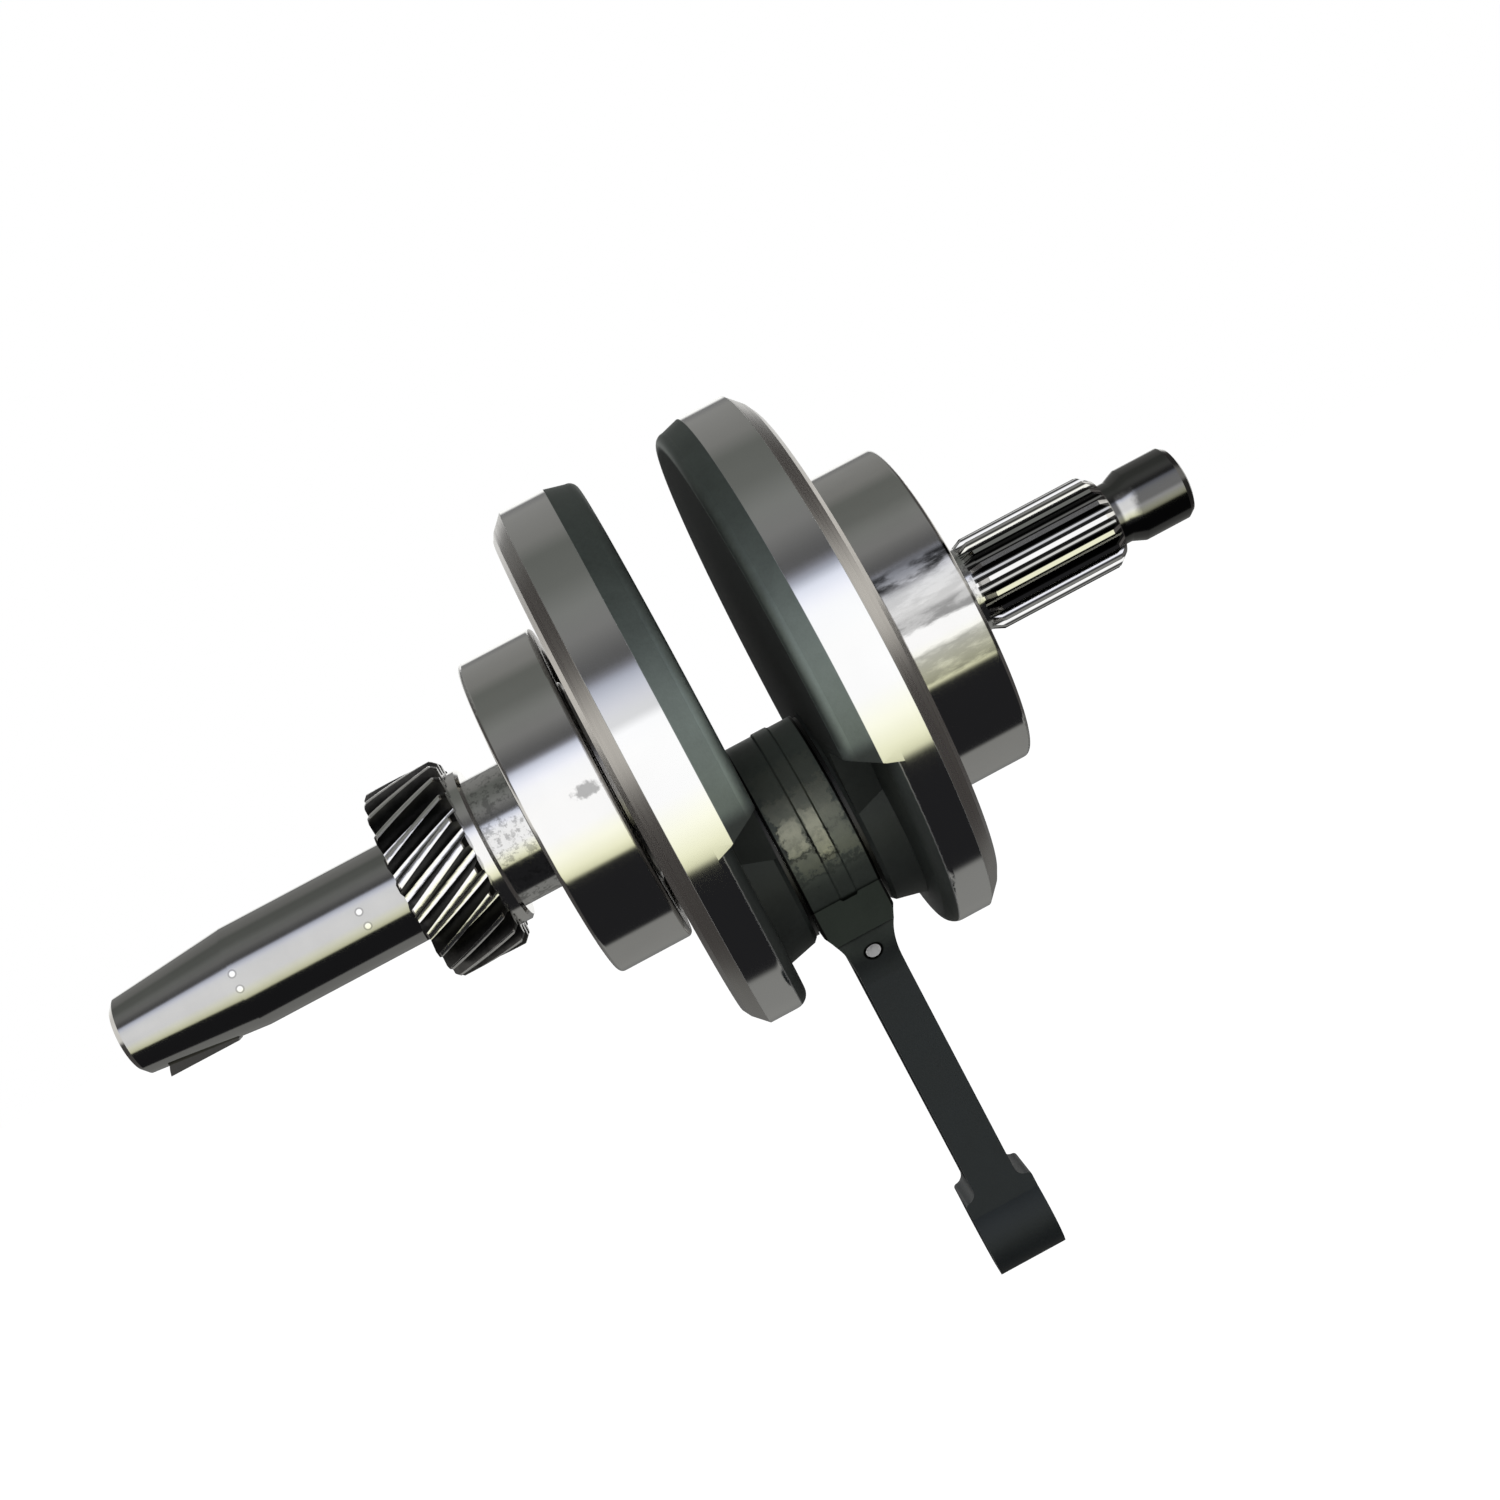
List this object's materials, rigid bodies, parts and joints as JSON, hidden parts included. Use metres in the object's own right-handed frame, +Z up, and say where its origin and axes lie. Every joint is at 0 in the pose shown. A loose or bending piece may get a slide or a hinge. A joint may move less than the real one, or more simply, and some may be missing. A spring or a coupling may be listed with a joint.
{
  "type": "crankshaft",
  "caption": "Built-up single-cylinder crankshaft with round counterweighted webs, a needle-bearing connecting rod, ball main bearings, a helical gear, a tapered rotor end and a splined end.",
  "frame": {"origin": "centre of the left main bearing, on the main axis", "axes": "+X along the shaft towards the splined end, +Z up through the counterweights, with the crankpin and the rod hanging along -Z"},
  "size_m": [0.2472, 0.119, 0.1914],
  "materials": {
    "crank_steel": "forged steel with ground rims",
    "shaft_steel": "ground forged steel",
    "pin_steel": "hardened and ground",
    "plug_steel": "zinc plated pressing",
    "gear_steel": "dark hardened steel with bright tooth tips",
    "key_steel": "bright drawn steel",
    "washer_steel": "ground strip",
    "rod_forging": "dark shot-blasted forging",
    "cage_silver": "silver-plated steel",
    "needle_steel": "polished",
    "race_steel": "ground bearing steel",
    "ball_steel": "polished",
    "cage_steel": "pressed strip"
  },
  "bodies": {
    "crank": {"left_web": "crank_steel", "left_shaft": "shaft_steel", "right_web": "crank_steel", "right_shaft": "shaft_steel", "crankpin": "pin_steel", "crankpin_plugs": "plug_steel", "helical_gear": "gear_steel", "woodruff_key": "key_steel", "left_thrust_washer": "washer_steel", "right_thrust_washer": "washer_steel", "left_inner_race": "race_steel", "right_inner_race": "race_steel"},
    "rod": {"connecting_rod": "rod_forging"},
    "needle_set": {"big_end_cage": "cage_silver", "big_end_needles": "needle_steel"},
    "left_race": {"left_outer_race": "race_steel"},
    "left_ball_set": {"left_balls": "ball_steel", "left_inboard_cage": "cage_steel", "left_outboard_cage": "cage_steel", "left_cage_rivets": "cage_steel"},
    "right_race": {"right_outer_race": "race_steel"},
    "right_ball_set": {"right_balls": "ball_steel", "right_inboard_cage": "cage_steel", "right_outboard_cage": "cage_steel", "right_cage_rivets": "cage_steel"}
  },
  "joints": [
    {"name": "rod_swing", "type": "hinge", "parent": "crank", "child": "rod", "pos_m": [0.0395, 0, -0.0275], "axis": [1, 0, 0], "continuous": true},
    {"name": "needle_set_spin", "type": "hinge", "parent": "crank", "child": "needle_set", "pos_m": [0.0395, 0, -0.0275], "axis": [1, 0, 0], "continuous": true},
    {"name": "left_race_spin", "type": "hinge", "parent": "crank", "child": "left_race", "pos_m": [0, 0, 0], "axis": [1, 0, 0], "continuous": true},
    {"name": "left_ball_set_spin", "type": "hinge", "parent": "crank", "child": "left_ball_set", "pos_m": [0, 0, 0], "axis": [1, 0, 0], "continuous": true},
    {"name": "right_race_spin", "type": "hinge", "parent": "crank", "child": "right_race", "pos_m": [0.079, 0, 0], "axis": [1, 0, 0], "continuous": true},
    {"name": "right_ball_set_spin", "type": "hinge", "parent": "crank", "child": "right_ball_set", "pos_m": [0.079, 0, 0], "axis": [1, 0, 0], "continuous": true}
  ],
  "couplings": [
    {"joint": "needle_set_spin", "follows": "rod_swing", "ratio": 0.55882},
    {"joint": "left_ball_set_spin", "follows": "left_race_spin", "ratio": 0.60374},
    {"joint": "right_ball_set_spin", "follows": "right_race_spin", "ratio": 0.60374}
  ]
}
